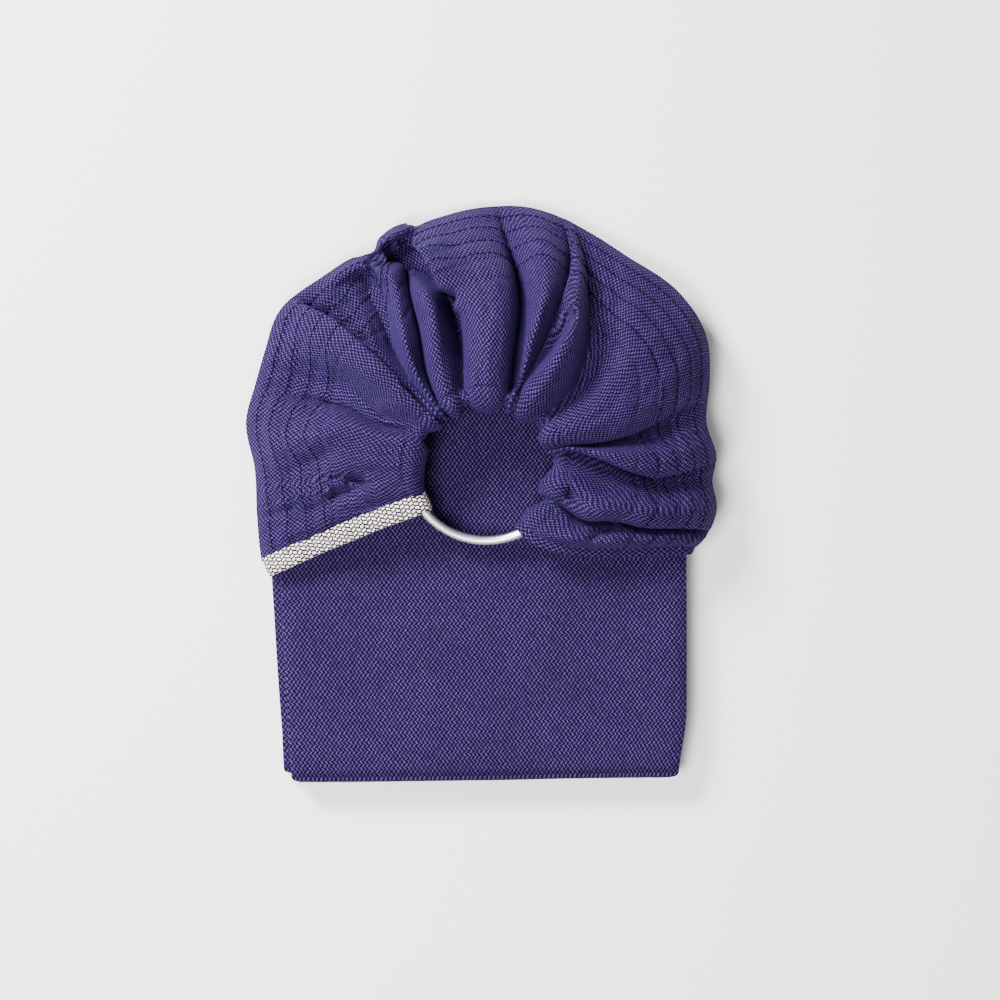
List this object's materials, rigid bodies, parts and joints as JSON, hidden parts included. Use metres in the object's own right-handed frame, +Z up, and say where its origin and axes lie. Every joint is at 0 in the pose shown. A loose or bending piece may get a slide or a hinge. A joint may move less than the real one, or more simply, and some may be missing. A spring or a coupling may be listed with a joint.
{
  "type": "ring sling baby carrier",
  "caption": "Folded ring sling: cloth packet, stitched shoulder gathered through aluminium rings and fanned out, with a contrast rail.",
  "frame": {"origin": "middle of the folded sling's footprint, on the surface it lies on", "axes": "+Z up from the surface it lies on; +Y from the packet's foot towards the fan's far rim; +X to the right seen from above"},
  "size_m": [0.261, 0.3223, 0.0649],
  "materials": {
    "sling_cloth": "matte woven cross twill",
    "rail_cloth": "matte woven, cream with dark picks",
    "thread": "matte sewing thread",
    "ring_metal": "satin anodised"
  },
  "bodies": {
    "panel_1": {"panel_1": "sling_cloth", "tail_hem": "sling_cloth"},
    "panel_2": {"panel_2": "sling_cloth"},
    "panel_3": {"panel_3": "sling_cloth"},
    "panel_4": {"panel_4": "sling_cloth"},
    "panel_5": {"panel_5": "sling_cloth"},
    "panel_6": {"panel_6": "sling_cloth"},
    "panel_7": {"panel_7": "sling_cloth", "head_apron": "sling_cloth"},
    "shoulder": {"shoulder_gather": "sling_cloth", "contrast_rail": "rail_cloth", "plain_rail": "sling_cloth", "seam_row_1": "thread", "seam_row_2": "thread", "seam_row_3": "thread", "seam_row_4": "thread"},
    "front_ring": {"front_ring": "ring_metal"},
    "back_ring": {"back_ring": "ring_metal"}
  },
  "joints": [
    {"name": "unfold_1", "type": "hinge", "parent": "panel_1", "child": "panel_2", "pos_m": [0, 0.099, 0.00272], "axis": [-1, 0, 0], "range_deg": [0, 178.8]},
    {"name": "unfold_2", "type": "hinge", "parent": "panel_2", "child": "panel_3", "pos_m": [0, -0.161, 0.00562], "axis": [1, 0, 0], "range_deg": [0, 178.8]},
    {"name": "unfold_3", "type": "hinge", "parent": "panel_3", "child": "panel_4", "pos_m": [0, 0.099, 0.00852], "axis": [-1, 0, 0], "range_deg": [0, 178.8]},
    {"name": "unfold_4", "type": "hinge", "parent": "panel_4", "child": "panel_5", "pos_m": [0, -0.161, 0.01142], "axis": [1, 0, 0], "range_deg": [0, 178.8]},
    {"name": "unfold_5", "type": "hinge", "parent": "panel_5", "child": "panel_6", "pos_m": [0, 0.099, 0.01432], "axis": [-1, 0, 0], "range_deg": [0, 178.8]},
    {"name": "unfold_6", "type": "hinge", "parent": "panel_6", "child": "panel_7", "pos_m": [0, -0.161, 0.01723], "axis": [1, 0, 0], "range_deg": [0, 178.8]},
    {"name": "shoulder_lift", "type": "hinge", "parent": "panel_7", "child": "shoulder", "pos_m": [0, 0.1612, 0.004], "axis": [-1, 0, 0], "range_deg": [0, 110]},
    {"name": "front_ring_turn", "type": "hinge", "parent": "shoulder", "child": "front_ring", "pos_m": [0.003, 0.015, 0.0446], "axis": [0, -0.309, 0.9511], "continuous": true},
    {"name": "back_ring_turn", "type": "hinge", "parent": "shoulder", "child": "back_ring", "pos_m": [0.003, 0.015, 0.039], "axis": [0, -0.309, 0.9511], "continuous": true}
  ],
  "couplings": [
    {"joint": "unfold_2", "follows": "unfold_1", "ratio": 1},
    {"joint": "unfold_3", "follows": "unfold_1", "ratio": 1},
    {"joint": "unfold_4", "follows": "unfold_1", "ratio": 1},
    {"joint": "unfold_5", "follows": "unfold_1", "ratio": 1},
    {"joint": "unfold_6", "follows": "unfold_1", "ratio": 1}
  ]
}
